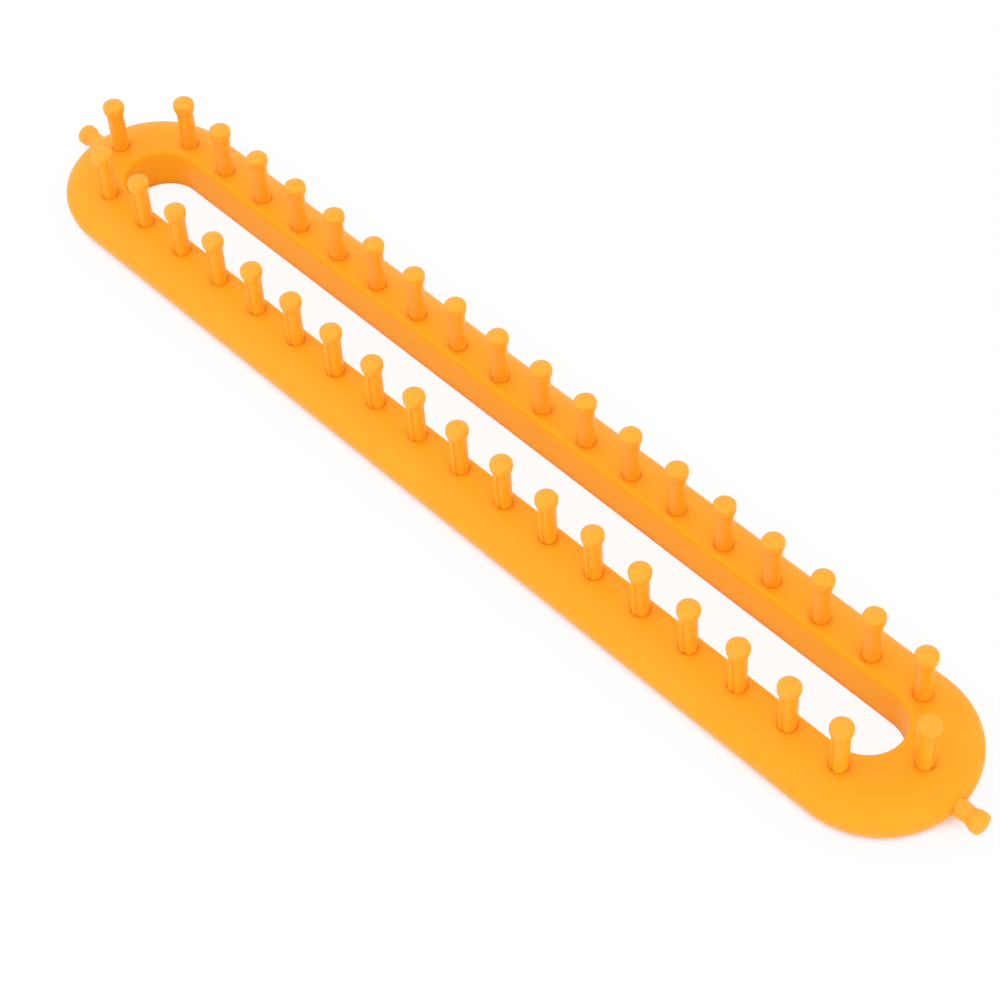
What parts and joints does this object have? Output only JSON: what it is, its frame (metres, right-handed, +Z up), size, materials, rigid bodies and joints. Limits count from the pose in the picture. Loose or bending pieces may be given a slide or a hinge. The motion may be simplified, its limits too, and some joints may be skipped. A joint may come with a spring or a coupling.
{
  "type": "rectangular knitting loom",
  "caption": "Long ring-shaped knitting loom: a rounded plastic frame with an open middle, rows of grooved round-headed pegs, end pegs and short anchor pegs on the end walls.",
  "frame": {"origin": "centre of the underside, on the plane of the frame's lower rim", "axes": "+X along the length, +Y across to the back row of pegs, +Z up through the pegs"},
  "size_m": [0.462, 0.068, 0.0382],
  "materials": {
    "frame_plastic": "satin moulded orange plastic with soft highlights",
    "peg_plastic": "satin moulded orange plastic, a little glossier on the heads"
  },
  "bodies": {
    "root": {"loom_frame": "frame_plastic", "front_peg_1": "peg_plastic", "front_peg_2": "peg_plastic", "front_peg_3": "peg_plastic", "front_peg_4": "peg_plastic", "front_peg_5": "peg_plastic", "front_peg_6": "peg_plastic", "front_peg_7": "peg_plastic", "front_peg_8": "peg_plastic", "front_peg_9": "peg_plastic", "front_peg_10": "peg_plastic", "front_peg_11": "peg_plastic", "front_peg_12": "peg_plastic", "front_peg_13": "peg_plastic", "front_peg_14": "peg_plastic", "front_peg_15": "peg_plastic", "front_peg_16": "peg_plastic", "front_peg_17": "peg_plastic", "front_peg_18": "peg_plastic", "back_peg_1": "peg_plastic", "back_peg_2": "peg_plastic", "back_peg_3": "peg_plastic", "back_peg_4": "peg_plastic", "back_peg_5": "peg_plastic", "back_peg_6": "peg_plastic", "back_peg_7": "peg_plastic", "back_peg_8": "peg_plastic", "back_peg_9": "peg_plastic", "back_peg_10": "peg_plastic", "back_peg_11": "peg_plastic", "back_peg_12": "peg_plastic", "back_peg_13": "peg_plastic", "back_peg_14": "peg_plastic", "back_peg_15": "peg_plastic", "back_peg_16": "peg_plastic", "back_peg_17": "peg_plastic", "back_peg_18": "peg_plastic", "left_end_peg": "peg_plastic", "right_end_peg": "peg_plastic", "left_anchor": "peg_plastic", "right_anchor": "peg_plastic"}
  },
  "joints": []
}
